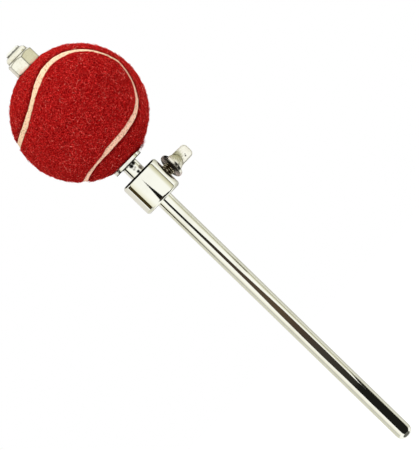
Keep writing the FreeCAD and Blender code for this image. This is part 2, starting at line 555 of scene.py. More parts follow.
@dataclass(frozen=True)
class FeltFinish(Finish):
    """Red wool felt: mottled, with curled lighter fibres and a soft sheen.

    The shadows are painted shade near the washer: pairs of the height above the washer over
    which one fades, and its share.
    """

    shaded_below: float
    deep: Colour = screen(96, 0, 1)
    main: Colour = screen(148, 0, 2)
    light: Colour = screen(244, 60, 56)
    pale: Colour = screen(250, 170, 150)
    shadow: Colour = screen(60, 0, 2)
    shadows: tuple[Span, ...] = ((0.8 * MM, 0.85), (18 * MM, 0.3))
    patch_size: float = 8 * MM
    patch_range: Span = (0.3, 0.7)
    patch_share: float = 0.12
    mottle_size: float = 0.7 * MM
    mottle_range: Span = (0.42, 0.58)
    mottle_relief: float = 0.6
    curls: Strands = Strands(1.3 * MM, twist=2.0, width=0.06, share=0.2, relief=0.5)
    fine_curls: Strands = Strands(0.64 * MM, twist=0.6, width=0.07, share=0.9, relief=0.3)
    specks: Specks = Specks(3.4 * MM, spread=0.12, patch=3 * MM, patch_range=(0.5, 0.6))
    speck_share: float = 0.5
    sheen: Colour = screen(255, 70, 60)
    relief_depth: float = 0.2 * MM
    crease_shade: str = "crease_shade"

    def shade(self, graph: NodeGraph) -> bpy.types.Node:
        """Layer the mottle, the curled fibres, the pale specks, and painted shade in the creases
        and near the washer.

        Args:
            graph: Nodes of the material.

        Returns:
            The shader that the surface takes.
        """
        patch = graph.noise(self.patch_size, detail=3.0).step(*self.patch_range)
        mottle = graph.noise(self.mottle_size, detail=1.0, twist=0.6)
        colour = graph.mix(mottle.step(*self.mottle_range), self.deep, self.main)
        colour = graph.mix(patch * self.patch_share, colour, self.deep)
        relief = mottle * self.mottle_relief
        for strands in (self.curls, self.fine_curls):
            mask = strands.mask(graph)
            colour = graph.mix(mask * strands.share, colour, self.light)
            relief = relief + mask * strands.relief
        colour = graph.mix(self.specks.mask(graph) * self.speck_share, colour, self.pale)
        # Painted shade in the creases beside the seam, read from a point attribute of the panels.
        crease_shade = graph.node("ShaderNodeAttribute", {"attribute_name": self.crease_shade})
        colour = graph.mix(Shade(graph, crease_shade.outputs["Fac"]), colour, self.shadow)
        # Painted shade near the washer: a dark line where the felt meets it and a broad darkening
        # lower down.
        for fade, share in self.shadows:
            low = self.shaded_below
            near = 1 - graph.along(Axis.Z).step(low, low + fade)
            colour = graph.mix(near * share, colour, self.shadow)
        return graph.principled(
            {
                "Base Color": colour,
                "Roughness": 0.95,
                "Specular IOR Level": 0.0,
                "Sheen Weight": 0.3,
                "Sheen Roughness": 0.2,
                "Sheen Tint": self.sheen,
                "Normal": graph.bump(relief, self.relief_depth, strength=0.7),
            }
        )


@dataclass(frozen=True)
class FibreFinish(Finish):
    """Loose wool fibres, a little lighter than the felt they lie on."""

    colour: Colour = screen(198, 22, 20)
    tip_colour: Colour = screen(252, 112, 100)
    loose_colour: Colour = screen(214, 186, 184)
    loose_below: float = 0.0
    loose_fade: float = 1 * MM
    patch_size: float = 0.9 * MM
    patch_range: Span = (0.48, 0.64)

    def shade(self, graph: NodeGraph) -> bpy.types.Node:
        """Vary the fibres from one to the next, and fade the tuft under the ball.

        Args:
            graph: Nodes of the material.

        Returns:
            The shader that the surface takes.
        """
        patch = graph.noise(self.patch_size, detail=1.0).step(*self.patch_range)
        colour = graph.mix(patch, self.colour, self.tip_colour)
        kept = graph.along(Axis.Z).step(self.loose_below - self.loose_fade, self.loose_below)
        colour = graph.mix(kept, self.loose_colour, colour)
        return graph.principled(
            {"Base Color": colour, "Roughness": 0.85, "Specular IOR Level": 0.0}
        )


@dataclass(frozen=True)
class CementFinish(Finish):
    """Matt seam cement: cream above and rosier below, with brown specks."""

    rosy_below: float
    cream_above: float
    cream: Colour = screen(246, 214, 174)
    rosy: Colour = screen(252, 202, 174)
    brown: Colour = screen(158, 104, 66)
    blotch_size: float = 2.6 * MM
    blotch_range: Span = (0.45, 0.65)
    blotch_share: float = 0.5
    grain_size: float = 0.8 * MM
    grain_range: Span = (0.5, 0.66)
    grain_share: float = 0.7
    specks: Specks = Specks(1.3 * MM, spread=0.22, patch=2.4 * MM, patch_range=(0.46, 0.6))
    speck_share: float = 0.75
    speck_loss: float = 0.25
    relief_depth: float = 0.15 * MM

    def shade(self, graph: NodeGraph) -> bpy.types.Node:
        """Run from rosy to cream up the ball and scatter specks over it.

        Args:
            graph: Nodes of the material.

        Returns:
            The shader that the surface takes.
        """
        rise = graph.along(Axis.Z).step(self.rosy_below, self.cream_above)
        blotch = graph.noise(self.blotch_size, rough=0.6).step(*self.blotch_range)
        colour = graph.mix(rise * (1 - blotch * self.blotch_share), self.rosy, self.cream)
        grain = graph.noise(self.grain_size, rough=0.6)
        colour = graph.mix(grain.step(*self.grain_range) * self.grain_share, colour, self.brown)
        speck = self.specks.mask(graph) * (self.speck_share - rise * self.speck_loss)
        colour = graph.mix(speck, colour, self.brown)
        return graph.principled(
            {
                "Base Color": colour,
                "Roughness": 0.82,
                "Specular IOR Level": 0.3,
                "Normal": graph.bump(grain, self.relief_depth, strength=0.6),
            }
        )


@dataclass(frozen=True)
class MouldedFinish(Finish):
    """Moulded rubber or nylon with a faint cloud and a fine grain."""

    colour: Colour = screen(60, 58, 55)
    cloud: Colour = screen(78, 74, 70)
    rough: float = 0.7
    rough_grain: float = 0.1
    cloud_size: float = 6 * MM
    grain_size: float = 0.5 * MM
    relief_depth: float = 0.05 * MM

    def shade(self, graph: NodeGraph) -> bpy.types.Node:
        """Cloud the colour and grain the surface.

        Args:
            graph: Nodes of the material.

        Returns:
            The shader that the surface takes.
        """
        patch = graph.noise(self.cloud_size, detail=3.0)
        grain = graph.noise(self.grain_size)
        return graph.principled(
            {
                "Base Color": graph.mix(patch, self.colour, self.cloud),
                "Roughness": self.rough + grain * self.rough_grain,
                "Normal": graph.bump(grain, self.relief_depth, strength=0.3),
            }
        )


def turns(sides: int) -> list[float]:
    """Angles of evenly spaced points round a circle, from 0 up to a full turn."""
    return [2 * math.pi * side / sides for side in range(sides)]


def level_ring(radius: float, height: float, sides: int = 48) -> Ring:
    """Points of a level circle round the rod's axis."""
    return [Vector((radius * math.cos(a), radius * math.sin(a), height)) for a in turns(sides)]


def put_in_scene(name: str, data: bpy.types.ID) -> bpy.types.Object:
    """Make an object of a mesh, a lamp or a camera and link it to the scene.

    Args:
        name: Name of the object.
        data: The mesh, lamp or camera.

    Returns:
        The object.
    """
    made = bpy.data.objects.new(name, data)
    bpy.context.scene.collection.objects.link(made)
    return made


def finished_mesh(name: str, solid: bmesh.types.BMesh) -> bpy.types.Mesh:
    """Turn a worked mesh's faces outwards and make it one to show.

    Args:
        name: Name of the mesh.
        solid: The worked mesh, which is freed.

    Returns:
        The mesh.
    """
    bmesh.ops.recalc_face_normals(solid, faces=solid.faces)
    mesh = bpy.data.meshes.new(name)
    solid.to_mesh(mesh)
    solid.free()
    return mesh


def ringed_mesh(name: str, rings: list[Ring], joined: bool) -> bpy.types.Mesh:
    """Make a closed mesh from rings of equally many points.

    Args:
        name: Name of the mesh.
        rings: The rings in order, each one closed.
        joined: Whether the last ring meets the first; else the end rings are points or get caps.

    Returns:
        The mesh, with equal points merged and its faces turned outwards.
    """
    count = len(rings[0])
    solid = bmesh.new()
    made = [[solid.verts.new(point) for point in ring] for ring in rings]
    last = len(rings) if joined else len(rings) - 1
    for i in range(last):
        here, there = made[i], made[(i + 1) % len(rings)]
        for j in range(count):
            solid.faces.new((here[j - 1], here[j], there[j], there[j - 1]))
    if not joined:
        for ring in (made[0], made[-1]):
            if (ring[0].co - ring[count // 2].co).length > SAME_POINT:
                solid.faces.new(ring)
    bmesh.ops.remove_doubles(solid, verts=solid.verts, dist=SAME_POINT)
    bmesh.ops.dissolve_degenerate(solid, edges=solid.edges, dist=SLIVER)
    mesh = finished_mesh(name, solid)
    mesh.polygons.foreach_set("use_smooth", [True] * len(mesh.polygons))
    return mesh


def add_piece(
    mesh: bpy.types.Mesh,
    material: bpy.types.Material,
    body: Body,
    nodes: tuple[str, ...] = (),
) -> None:
    """Put a piece into the scene and tie it to the frame.

    Args:
        mesh: Its mesh, whose name the piece takes.
        material: Its material.
        body: The body it rides on.
        nodes: Nodes of the frame that it stands for.
    """
    piece = put_in_scene(mesh.name, mesh)
    mesh.materials.clear()
    mesh.materials.append(material)
    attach(piece, body.value)
    if nodes:
        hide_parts(*nodes)
    LOG.info("%s: %d faces, rides on %s", piece.name, len(mesh.polygons), body.value)


def dress_node(node: str, finish: Finish) -> None:
    """Give a node of the frame its finish.

    Args:
        node: Name of the node.
        finish: The finish.
    """
    material = finish.material()
    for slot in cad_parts[node].material_slots:
        slot.material = material
    LOG.info("%s: %s", node, finish.name)


@dataclass(frozen=True)
class SeamCurve:
    """The ball's seam: a closed curve on a sphere that sways a little and varies in width.

    The half widths and the drift, how far its middle line strays to one side, are pairs of
    the angle along the seam, in degrees, and the size there, in mm.
    """

    radius: float
    waist: float = 0.254
    yaw: float = 61.9
    pitch: float = 45.7
    roll: float = 66.8
    sway: float = 1.6 * MM
    swings: int = 6
    ragged: float = 0.2 * MM
    ragged_steps: float = 34.0
    ragged_level: float = 0.5
    half_widths: tuple[Span, ...] = (
        (0, 1.3), (110, 1.4), (140, 1.4), (158, 1.65), (171, 1.15), (182, 1.95),
        (197, 1.95), (209, 0.95), (224, 0.42), (243, 0.27), (256, 1.2), (264, 1.6),
        (281, 1.6), (289, 0.6), (304, 0.9), (325, 1.3), (360, 1.3),
    )
    drift: tuple[Span, ...] = (
        (0, 0.0), (130, 0.4), (152, 1.0), (161, 0.45), (168, 0.0), (180, 0.1),
        (189, 0.45), (208, 0.35), (219, 0.85), (225, 1.45), (230.5, 2.3), (236, 1.3),
        (242, 0.6), (248, 0.75), (254, 1.5), (260, 1.6), (266, 1.0), (280, 0.7),
        (286, 1.0), (293, 0.8), (306, 0.6), (330, 0.2), (360, 0.0),
    )

    def turn(self) -> Matrix:
        """Rotation from the seam's own axes to the row frame.

        Returns:
            The rotation.
        """
        angles = ((self.yaw, "Z"), (self.pitch, "Y"), (self.roll, "X"))
        made = Matrix.Identity(3)
        for angle, axis in angles:
            made = made @ Matrix.Rotation(math.radians(angle), 3, axis)
        return made

    @staticmethod
    def read(knots: tuple[Span, ...], angle: float) -> float:
        """Read a table of sizes along the seam, with smooth steps from one to the next.

        Args:
            knots: The table.
            angle: Place along the seam, a full turn being the whole curve.

        Returns:
            The size there.
        """
        place = math.degrees(angle) % 360
        for (start, low), (end, high) in zip(knots, knots[1:]):
            if place <= end:
                break
        first, second = low * MM, high * MM
        share = (place - start) / (end - start)
        return first + (second - first) * share * share * (3 - 2 * share)

    def half_width(self, angle: float) -> float:
        """Half of the seam's width at one place along it.

        Args:
            angle: Place along the seam, a full turn being the whole curve.

        Returns:
            Half of the width.
        """
        steps = self.ragged_steps
        place = (steps * math.cos(angle), steps * math.sin(angle), self.ragged_level)
        return self.read(self.half_widths, angle) + self.ragged * noise.noise(place)

    def point(self, angle: float, aside: float = 0.0) -> Vector:
        """Direction of a point of the seam, or beside it, from the ball's middle.

        Args:
            angle: Place along the seam, a full turn being the whole curve.
            aside: Distance to the side of the seam's middle line.

        Returns:
            The direction as a unit vector.
        """
        one, three = 1 - self.waist, self.waist
        rise = 2 * math.sqrt(one * three)
        out = Vector(
            (
                one * math.cos(angle) + three * math.cos(3 * angle),
                one * math.sin(angle) - three * math.sin(3 * angle),
                rise * math.sin(2 * angle),
            )
        )
        along = Vector(
            (
                -one * math.sin(angle) - 3 * three * math.sin(3 * angle),
                one * math.cos(angle) - 3 * three * math.cos(3 * angle),
                2 * rise * math.cos(2 * angle),
            )
        )
        across = out.cross(along).normalized()
        stray = self.sway * math.sin(self.swings * angle) + self.read(self.drift, angle)
        tilt = (aside + stray) / self.radius
        return self.turn() @ (out * math.cos(tilt) + across * math.sin(tilt))


@dataclass(frozen=True)
class Nap:
    """A number of loose fibres.

    The lengths and the lifts are spans in mm, and off_seam is how far from the seam's groove
    a fibre starts at least, in metres.
    """

    count: int
    lengths: Span
    lifts: Span
    off_seam: float = 0.0


def drawn(rng: random.Random, span: Span) -> float:
    """Draw a size from a span in mm."""
    return rng.uniform(*span) * MM


@dataclass
class FeltBall:
    """Felt ball: two dumbbell panels, the cement in the seam between them, and the nap.

    The lumps and the cement's grain are pairs of a size and a height. The widths and depths of
    the shade painted along the seam's creases are those of panels A and B. The edge rows are
    distances from a panel's edge in mm.
    """

    centre: Vector
    radius: float
    inner_r: float
    seam: SeamCurve
    washer_top: float
    washer_mid: Vector
    washer_r: float
    nut_base: float
    nut_r: float
    bore_r: float
    seam_steps: int = 1440
    roll_width: float = 1.3 * MM
    roll_drop: float = 0.66 * MM
    crease_shade_widths: Span = (0.6 * MM, 2.4 * MM)
    crease_shade_depths: Span = (0.35, 0.6)
    lumps: tuple[Span, ...] = ((9.0 * MM, 0.16 * MM), (2.6 * MM, 0.12 * MM), (1.1 * MM, 0.1 * MM))
    washer_lip: float = 0.35 * MM
    nut_lip: float = 0.2 * MM
    lip_width: float = 1.4 * MM
    columns: int = 75
    middle_rows: int = 58
    edge_rows: tuple[float, ...] = (0.0, 0.1, 0.22, 0.36, 0.54, 0.76, 1.05)
    edge_room: float = 2.2
    inner_rows: int = 12
    bore_reach: float = 1.2
    cement_recess: float = 0.48 * MM
    recess_share: float = 0.3
    cement_gap: float = 0.04 * MM
    cement_steps: int = 420
    cement_rows: tuple[float, ...] = (-1.0, -0.75, -0.4, 0.0, 0.4, 0.75, 1.0)
    cement_grain: tuple[Span, ...] = ((1.3 * MM, 0.09 * MM), (0.6 * MM, 0.05 * MM))
    cement_cup: float = 0.1 * MM
    cement_fade: float = 12 * MM
    shade_rise: float = 0.1 * MM
    loose_rise: float = 0.6 * MM
    bare_ring: float = 3 * MM
    fibre_r: float = 0.08 * MM
    fibre_sides: int = 3
    fibre_rings: int = 5
    fibre_bend: float = 1.1
    fibre_waver: float = 0.35
    fibre_taper: float = 0.6
    fibre_sunk: float = 0.4
    root_share: float = 0.12
    nap_seed: int = 11
    nap: Nap = Nap(3400, lengths=(1.5, 4.0), lifts=(0.04, 0.5), off_seam=0.1 * MM)
    nap_overhang: Span = (0.3, 1.3)
    hair_seed: int = 5
    hairs: Nap = Nap(150, lengths=(3.5, 7), lifts=(0.2, 0.5), off_seam=2 * MM)
    tuft: Nap = Nap(44, lengths=(2, 3.5), lifts=(0.3, 1.5))
    tuft_way: Triple = (0.29, -0.104, -0.951)
    tuft_spread: float = 0.026

    def __post_init__(self) -> None:
        """Lay out the seam's points, to measure how far a place is from it."""
        angles = turns(self.seam_steps)
        self.widths = [self.seam.half_width(angle) for angle in angles]
        self.tree = kdtree.KDTree(self.seam_steps)
        for step, angle in enumerate(angles):
            self.tree.insert(self.seam.point(angle) * self.radius, step)
        self.tree.balance()

    @classmethod
    def from_frame(cls) -> "FeltBall":
        """Take the ball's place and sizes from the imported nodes.

        Returns:
            The ball.
        """
        glue_gap, bore_clear = 0.04 * MM, 0.15 * MM
        low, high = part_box("core_half_upper")
        felt = [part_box("felt_panel_a"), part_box("felt_panel_b")]
        radius = (max(box[1].y for box in felt) - min(box[0].y for box in felt)) / 2
        washer, nut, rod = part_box("seat_washer"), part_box("lock_nut"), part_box("shaft")
        return cls(
            centre=Vector(((low.x + high.x) / 2, (low.y + high.y) / 2, low.z)),
            radius=radius,
            inner_r=(high.y - low.y) / 2 + glue_gap,
            seam=SeamCurve(radius),
            washer_top=washer[1].z,
            washer_mid=(washer[0] + washer[1]) / 2,
            washer_r=washer[1].y,
            nut_base=nut[0].z,
            nut_r=nut[1].y,
            bore_r=rod[1].x - THREAD_STEP + bore_clear,
        )

    def seam_gap(self, direction: Vector) -> float:
        """Distance from a place on the ball to the nearest edge of the seam's groove."""
        _, step, away = self.tree.find(direction * self.radius)
        return away - self.widths[step]

    def felt_point(self, direction: Vector) -> Vector:
        """Place of the felt's surface along a direction from the ball's middle.

        Args:
            direction: Unit vector from the middle of the ball.

        Returns:
            The point, with the rolled edge, the lumps and the pressed flats.
        """
        at = direction * self.radius
        radius = self.radius
        inset = 1 - max(self.seam_gap(direction), 0.0) / self.roll_width
        if inset > 0:
            radius -= self.roll_drop * (1 - math.sqrt(1 - inset * inset))
        for size, height in self.lumps:
            radius += height * noise.noise(at / size)
        point = self.centre + direction * radius
        if direction.z < 0:
            lip, rim, mid = self.washer_lip, self.washer_r, self.washer_mid
        else:
            lip, rim, mid = self.nut_lip, self.nut_r, Vector()
        from_axis = math.hypot(point.x - mid.x, point.y - mid.y)
        spread = (from_axis - rim - self.lip_width / 2) / self.lip_width
        point += direction * (lip * math.exp(-spread * spread))
        if direction.z < 0 and from_axis < rim:
            point.z = max(point.z, self.washer_top)
        elif direction.z > 0 and from_axis < rim:
            point.z = min(point.z, self.nut_base)
        return point

    def panel_axes(self, panel: Panel) -> tuple[Vector, Vector, Vector]:
        """Directions of a panel's middle, along it and across its waist.

        Args:
            panel: Which panel.

        Returns:
            The three directions.
        """
        turn = self.seam.turn()
        near = (turn @ Vector((1, 1, 0))).normalized()
        far = (turn @ Vector((-1, 1, 0))).normalized()
        middle = turn @ Vector((0, 0, panel.value))
        return (middle, far, near) if panel is Panel.B else (middle, near, far)

    def panel_columns(self, panel: Panel) -> list[tuple[Span, Span]]:
        """Columns of a panel from the end of one lobe to the end of the other.

        Args:
            panel: Which panel.

        Returns:
            For each column its two ends on the panel's outline, as angles along and across.
        """
        middle, along, across = self.panel_axes(panel)
        lobe_b, lobe_a = math.radians(45), math.radians(135)
        first = lobe_b if panel is Panel.B else lobe_a
        second = first + math.pi
        inward = self.seam.point(lobe_b, 1 * MM) - self.seam.point(lobe_b)
        side = math.copysign(1.0, inward.dot(self.panel_axes(Panel.B)[0])) * panel.value
        columns = []
        for step in range(-self.columns, self.columns + 1):
            turn = math.pi / 2 * panel.value * step / self.columns
            ends = []
            for angle in (second - turn, first + turn):
                inside = self.seam.point(angle, side * self.seam.half_width(angle))
                bearing = math.atan2(inside.dot(along), inside.dot(middle))
                ends.append((bearing, math.asin(inside.dot(across))))
            columns.append((ends[0], ends[1]))
        return columns

    def row_shares(self, half: float) -> list[float]:
        """Places of a column's rows from edge to edge, -1 to 1, closer together at the edges.

        Args:
            half: Half of the column's length on the ball.

        Returns:
            The rows' places.
        """
        insets = [row * MM for row in self.edge_rows]
        squeeze = min(1.0, half / (self.edge_room * insets[-1]))
        near = [1 - squeeze * inset / max(half, SLIVER) for inset in insets]
        reach = near[-1]
        middle = [reach * (2 * step / self.middle_rows - 1) for step in range(1, self.middle_rows)]
        return [-share for share in near] + middle + near[::-1]

    def build_panel(self, panel: Panel) -> bpy.types.Mesh:
        """Model one felt panel as a closed skin with rolled edges.

        Args:
            panel: Which panel.

        Returns:
            Its mesh.
        """
        middle, along, across = self.panel_axes(panel)

        def direction(low: Span, high: Span, share: float) -> Vector:
            """Direction of a place between a column's ends.

            Args:
                low: Angles of one end.
                high: Angles of the other end.
                share: Place from the one, -1, to the other, 1.

            Returns:
                The direction.
            """
            turn, tilt = (a + (b - a) * (share + 1) / 2 for a, b in zip(low, high))
            level = middle * math.cos(turn) + along * math.sin(turn)
            return level * math.cos(tilt) + across * math.sin(tilt)

        rings = []
        backs = [1 - 2 * step / self.inner_rows for step in range(self.inner_rows + 1)]
        for low, high in self.panel_columns(panel):
            shares = self.row_shares((high[1] - low[1]) / 2 * self.radius)
            outer = [self.felt_point(direction(low, high, share)) for share in shares]
            inner = [self.centre + direction(low, high, share) * self.inner_r for share in backs]
            walls = (outer[-1] + inner[0]) / 2, (inner[-1] + outer[0]) / 2
            rings.append([*outer, walls[0], *inner, walls[1]])
        mesh = ringed_mesh(f"felt_cover_{panel.name.lower()}", rings, joined=False)
        if panel is Panel.B:
            mesh = self.bored(mesh)
        # Painted shade in the crease beside the seam, deepest at the panel's edge.
        crease_shade = mesh.attributes.new(FeltFinish.crease_shade, "FLOAT", "POINT")
        which = 1 if panel is Panel.B else 0
        for spot, point in zip(crease_shade.data, mesh.vertices):
            gap = self.seam_gap((point.co - self.centre).normalized())
            near = min(max(1 - gap / self.crease_shade_widths[which], 0.0), 1.0)
            spot.value = self.crease_shade_depths[which] * near
        return mesh

    def bored(self, mesh: bpy.types.Mesh) -> bpy.types.Mesh:
        """Cut the hole for the rod.

        Args:
            mesh: A closed mesh of the ball.

        Returns:
            A mesh of the same name with the hole.
        """
        reach = self.bore_reach * self.radius
        ends = (self.centre.z - reach, self.centre.z + reach)
        rings = [level_ring(self.bore_r, height) for height in ends]
        drill = put_in_scene("drill", ringed_mesh("drill", rings, joined=False))
        blank = put_in_scene("blank", mesh)
        cut = blank.modifiers.new("bore", "BOOLEAN")
        cut.operation, cut.solver, cut.object = "DIFFERENCE", "EXACT", drill
        seen = blank.evaluated_get(bpy.context.evaluated_depsgraph_get())
        name = mesh.name
        mesh.name = "blank"
        made = bpy.data.meshes.new_from_object(seen)
        made.name = name
        for thing in (drill, blank):
            spare = thing.data
            bpy.data.objects.remove(thing)
            bpy.data.meshes.remove(spare)
        return made

    def build_cement(self) -> bpy.types.Mesh:
        """Model the cement strip that shows between the panels.

        Returns:
            Its mesh.
        """
        rings = []
        for angle in turns(self.cement_steps):
            half = self.seam.half_width(angle) - self.cement_gap
            top = self.radius - min(self.cement_recess, half * self.recess_share)
            ring = []
            for share in self.cement_rows:
                way = self.seam.point(angle, share * half)
                at = way * top
                rough = sum(rise * noise.noise(at / size) for size, rise in self.cement_grain)
                ring.append(self.centre + way * (top + rough + self.cement_cup * share * share))
            for share in (1.0, 0.0, -1.0):
                ring.append(self.centre + self.seam.point(angle, share * half) * self.inner_r)
            rings.append(ring)
        return ringed_mesh("seam_cement", rings, joined=True)

    def fibre(self, rng: random.Random, start: Vector, length: float, lift: float) -> list[Ring]:
        """Rings of one loose fibre that lies curled on the felt.

        Args:
            rng: Source of its bends.
            start: Direction of its root from the ball's middle.
            length: Its length.
            lift: Height of its middle above the felt.

        Returns:
            Its rings from root to tip.
        """
        heading = start.orthogonal().normalized()
        heading = Matrix.Rotation(rng.uniform(0, 2 * math.pi), 3, start) @ heading
        bend = rng.uniform(-self.fibre_bend, self.fibre_bend)
        steps = self.fibre_rings - 1
        spot, rings = start.copy(), []
        for step in range(self.fibre_rings):
            share = step / steps
            arch = math.sin(math.pi * min(share + self.root_share, 1.0))
            height = lift * arch - self.fibre_r * self.fibre_sunk
            middle = self.felt_point(spot) + spot * height
            thick = self.fibre_r * (1.0 - self.fibre_taper * share)
            aside = spot.cross(heading).normalized()
            ring = []
            for turn in turns(self.fibre_sides):
                ring.append(middle + (aside * math.cos(turn) + spot * math.sin(turn)) * thick)
            rings.append(ring)
            spot = (spot + heading * (length / self.radius / steps)).normalized()
            waver = rng.uniform(-self.fibre_waver, self.fibre_waver)
            heading = Matrix.Rotation(bend + waver, 3, spot) @ heading
            heading = (heading - spot * heading.dot(spot)).normalized()
        return rings

    @staticmethod
    def add_fibre(solid: bmesh.types.BMesh, rings: list[Ring]) -> None:
        """Add one closed fibre to a mesh.

        Args:
            solid: The mesh.
            rings: The fibre's rings from root to tip.
        """
        made = [[solid.verts.new(point) for point in ring] for ring in rings]
        for here, there in zip(made, made[1:]):
            for side in range(len(here)):
                solid.faces.new((here[side - 1], here[side], there[side], there[side - 1]))
        solid.faces.new(made[0])
        solid.faces.new(made[-1])

    def felt_way(self, rng: random.Random, off_seam: float) -> Vector:
        """Pick a direction in which the felt lies bare.

        Args:
            rng: Source of the direction.
            off_seam: Least distance from the seam's groove.

        Returns:
            The direction from the ball's middle.
        """
        keep_off = self.washer_r + self.bare_ring
        while True:
            rise, turn = rng.uniform(-1, 1), rng.uniform(0, 2 * math.pi)
            level = math.sqrt(1 - rise * rise)
            way = Vector((level * math.cos(turn), level * math.sin(turn), rise))
            if self.seam_gap(way) >= off_seam and level * self.radius >= keep_off:
                return way

    def build_hairs(self) -> bpy.types.Mesh:
        """Model the few long pale hairs that lie loose on the felt.

        Returns:
            Its mesh.
        """
        rng = random.Random(self.hair_seed)
        solid = bmesh.new()
        for _ in range(self.hairs.count):
            start = self.felt_way(rng, self.hairs.off_seam)
            length = drawn(rng, self.hairs.lengths)
            lift = drawn(rng, self.hairs.lifts)
            self.add_fibre(solid, self.fibre(rng, start, length, lift))
        return finished_mesh("felt_hairs", solid)

    def build_nap(self) -> bpy.types.Mesh:
        """Model the loose fibres that stand out of the felt, and the tuft under the ball.

        Returns:
            Its mesh.
        """
        rng = random.Random(self.nap_seed)
        solid = bmesh.new()
        for _ in range(self.nap.count):
            start = self.felt_way(rng, self.nap.off_seam)
            length = drawn(rng, self.nap.lengths)
            length = min(length, self.seam_gap(start) + drawn(rng, self.nap_overhang))
            lift = drawn(rng, self.nap.lifts)
            self.add_fibre(solid, self.fibre(rng, start, length, lift))
        for _ in range(self.tuft.count):
            spread = [rng.gauss(0, self.tuft_spread) for _ in range(3)]
            start = (Vector(self.tuft_way) + Vector(spread)).normalized()
            length = drawn(rng, self.tuft.lengths)
            lift = drawn(rng, self.tuft.lifts)
            self.add_fibre(solid, self.fibre(rng, start, length, lift))
        return finished_mesh("felt_nap", solid)

    def build(self) -> None:
        """Model and dress the ball."""
        # The felt's painted shade is darkest below this height, just above the washer.
        shaded_below = self.washer_top + self.shade_rise
        felt = FeltFinish("red wool felt", shaded_below).material()
        for panel in Panel:
            mesh = self.build_panel(panel)
            add_piece(mesh, felt, Body.BEATER, (f"felt_panel_{panel.name.lower()}",))
        middle, fade = self.centre.z, self.cement_fade
        cement = CementFinish("seam cement", rosy_below=middle - fade, cream_above=middle + fade)
        strip = self.build_cement()
        add_piece(strip, cement.material(), Body.BEATER, ("seam_strip",))
        loose_below = self.washer_top + self.loose_rise
        nap = FibreFinish("loose wool fibres", loose_below=loose_below).material()
        add_piece(self.build_nap(), nap, Body.BEATER)
        pale = FibreFinish("pale wool hairs", screen(226, 64, 56), screen(255, 158, 142))
        add_piece(self.build_hairs(), pale.material(), Body.BEATER)
        rubber = MouldedFinish("core rubber")
        dress_node("core_half_lower", rubber)
        dress_node("core_half_upper", rubber)


@dataclass(frozen=True)
class ScrewThread:
    """A screw thread cut round a straight bar."""

    crest_r: float
    root_r: float
    pitch: float
    sides: int = 40
    steps_per_turn: int = 10
    root_flat: float = 0.12
    flank: float = 0.72

    def radius(self, along: float, turn: float) -> float:
        """Radius of the thread.

        Args:
            along: Distance along the bar.
            turn: Angle round the bar.

        Returns:
            The radius there.
        """
        phase = (along / self.pitch - turn / (2 * math.pi)) % 1.0
        rise = 1 - abs(2 * phase - 1)
        ridge = min(max((rise - self.root_flat) / self.flank, 0.0), 1.0)
        return self.root_r + (self.crest_r - self.root_r) * ridge

    def rings(self, start: float, end: float, fade: float) -> list[list[Triple]]:
        """Rings of a threaded length.

        Args:
            start: Where it begins along the bar.
            end: Where it ends.
            fade: Length over which the thread runs in from the root at the start.

        Returns:
            Rings of (along, radius, angle).
        """
        count = max(2, round((end - start) / self.pitch * self.steps_per_turn))
        made = []
        for step in range(count + 1):
            along = start + (end - start) * step / count
            depth = min((along - start) / fade, 1.0) if fade else 1.0
            ring = []
            for turn in turns(self.sides):
                full = self.radius(along, turn)
                ring.append((along, self.root_r + (full - self.root_r) * depth, turn))
            made.append(ring)
        return made


